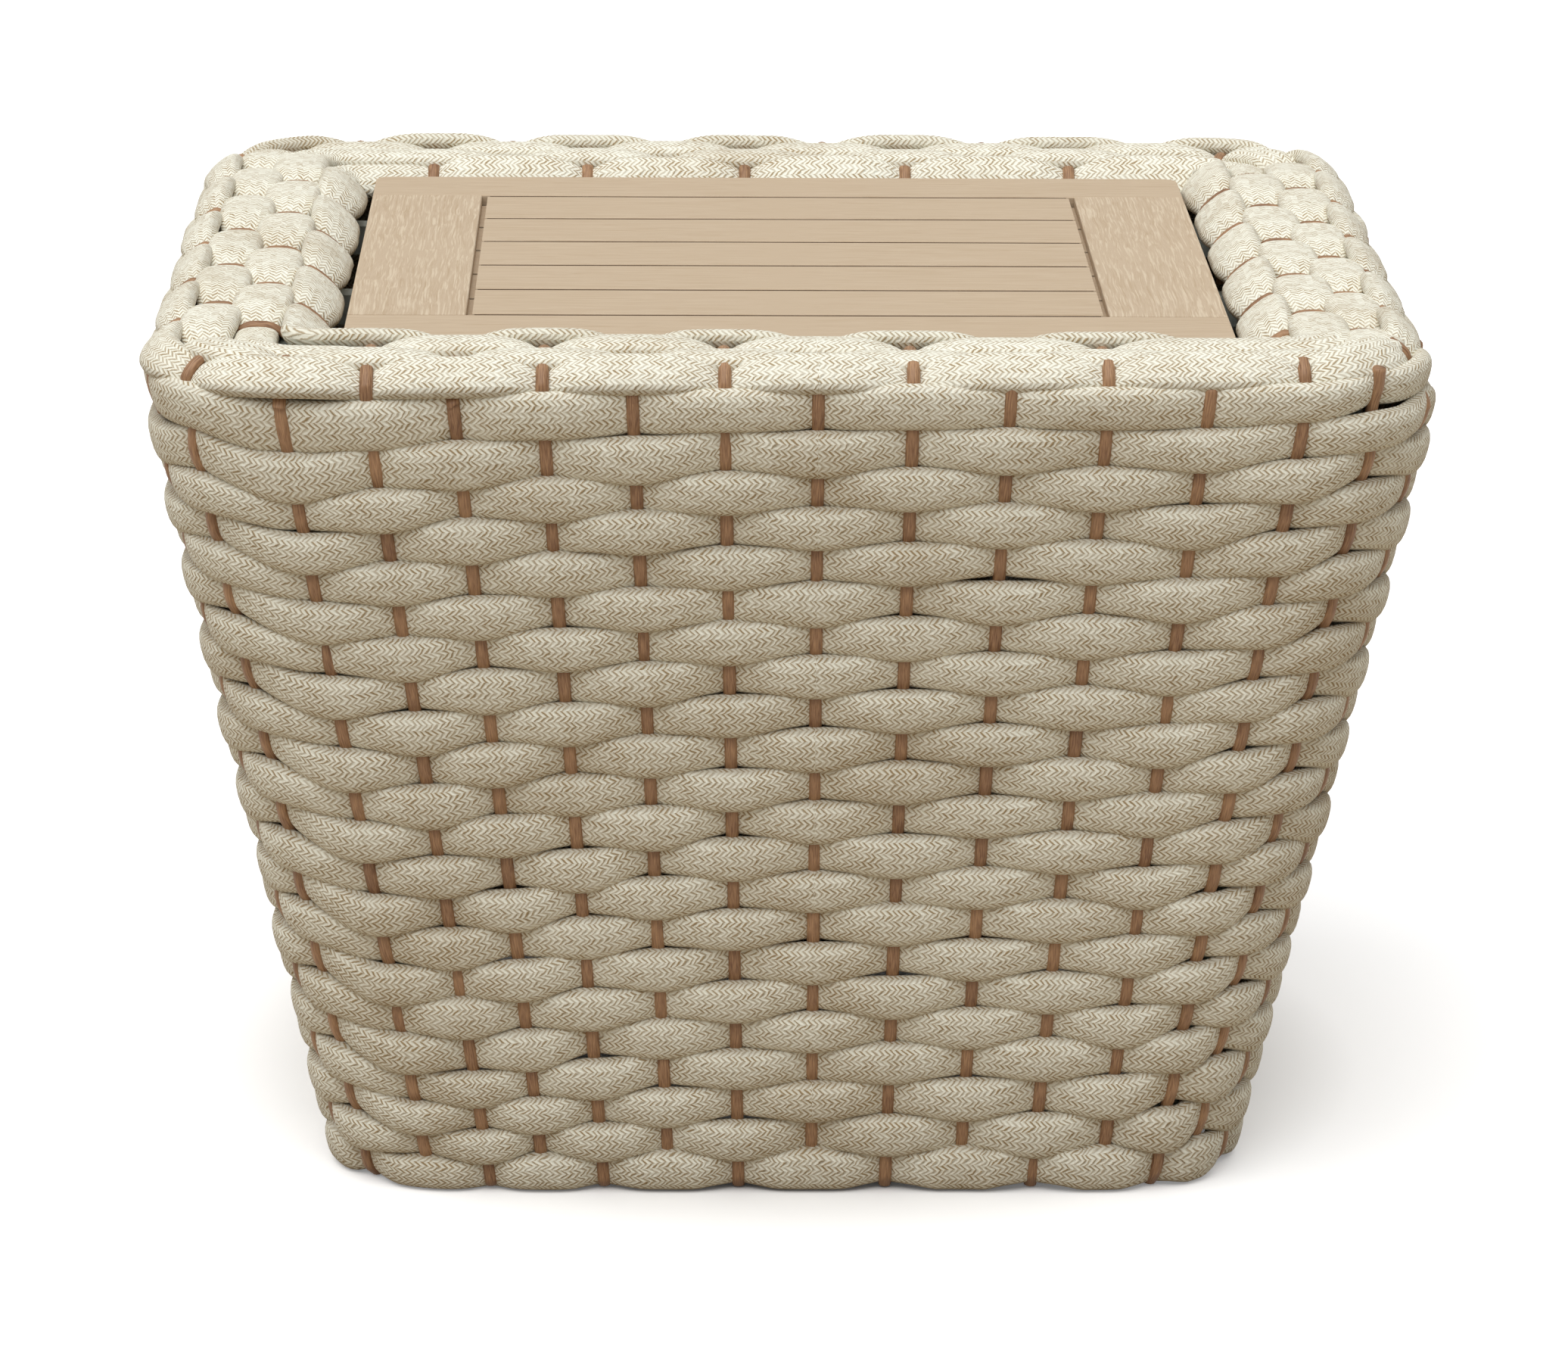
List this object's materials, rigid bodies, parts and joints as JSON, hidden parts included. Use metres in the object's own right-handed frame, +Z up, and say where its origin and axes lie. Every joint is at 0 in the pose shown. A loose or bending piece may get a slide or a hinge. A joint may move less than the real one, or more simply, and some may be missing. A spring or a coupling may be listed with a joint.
{
  "type": "outdoor coffee table",
  "caption": "Tapered woven-rope basket table on a welded metal frame, with a rounded rope rim and a drop-in slatted wood-look top that lifts out",
  "frame": {"origin": "on the floor under the middle of the table", "axes": "+Z up, +X to the right along the slats, -Y towards the front"},
  "size_m": [0.6208, 0.5988, 0.4334],
  "materials": {
    "rope": "flattened tubular braid, cream yarn with tan flecks in a herringbone",
    "strand": "brown wood-streaked synthetic wicker",
    "frame_paint": "pale powder coat on aluminium",
    "teak_boards": "light tan wood-look boards with brushed grain",
    "pad_rubber": "soft black rubber",
    "glide_nylon": "moulded nylon"
  },
  "bodies": {
    "basket": {"rope_row_01": "rope", "rope_row_02": "rope", "rope_row_03": "rope", "rope_row_04": "rope", "rope_row_05": "rope", "rope_row_06": "rope", "rope_row_07": "rope", "rope_row_08": "rope", "rope_row_09": "rope", "rope_row_10": "rope", "rope_row_11": "rope", "rope_row_12": "rope", "rope_row_13": "rope", "rope_row_14": "rope", "rope_row_15": "rope", "rope_row_16": "rope", "rope_row_17": "rope", "rope_row_18": "rope", "rope_row_19": "rope", "rope_row_20": "rope", "rope_row_21": "rope", "rope_row_22": "rope", "rope_rim_1": "rope", "rope_rim_2": "rope", "rope_rim_3": "rope", "rope_rim_4": "rope", "strands_front": "strand", "strands_right": "strand", "strands_back": "strand", "strands_left": "strand", "outer_ring": "frame_paint", "inner_ring": "frame_paint", "base_ring": "frame_paint", "front_right_post": "frame_paint", "back_right_post": "frame_paint", "back_left_post": "frame_paint", "front_left_post": "frame_paint", "front_post": "frame_paint", "right_post": "frame_paint", "back_post": "frame_paint", "left_post": "frame_paint", "front_bar": "frame_paint", "middle_bar": "frame_paint", "back_bar": "frame_paint", "ring_spreaders": "frame_paint", "rest_pads": "pad_rubber", "base_wrap": "strand", "floor_glides": "glide_nylon"},
    "top": {"front_rail": "teak_boards", "back_rail": "teak_boards", "left_end_board": "teak_boards", "right_end_board": "teak_boards", "slat_1": "teak_boards", "slat_2": "teak_boards", "slat_3": "teak_boards", "slat_4": "teak_boards", "slat_5": "teak_boards", "top_dowels": "teak_boards"}
  },
  "joints": [
    {"name": "top_lift", "type": "slide", "parent": "basket", "child": "top", "axis": [0, 0, 1], "range_m": [0, 0.12]}
  ]
}
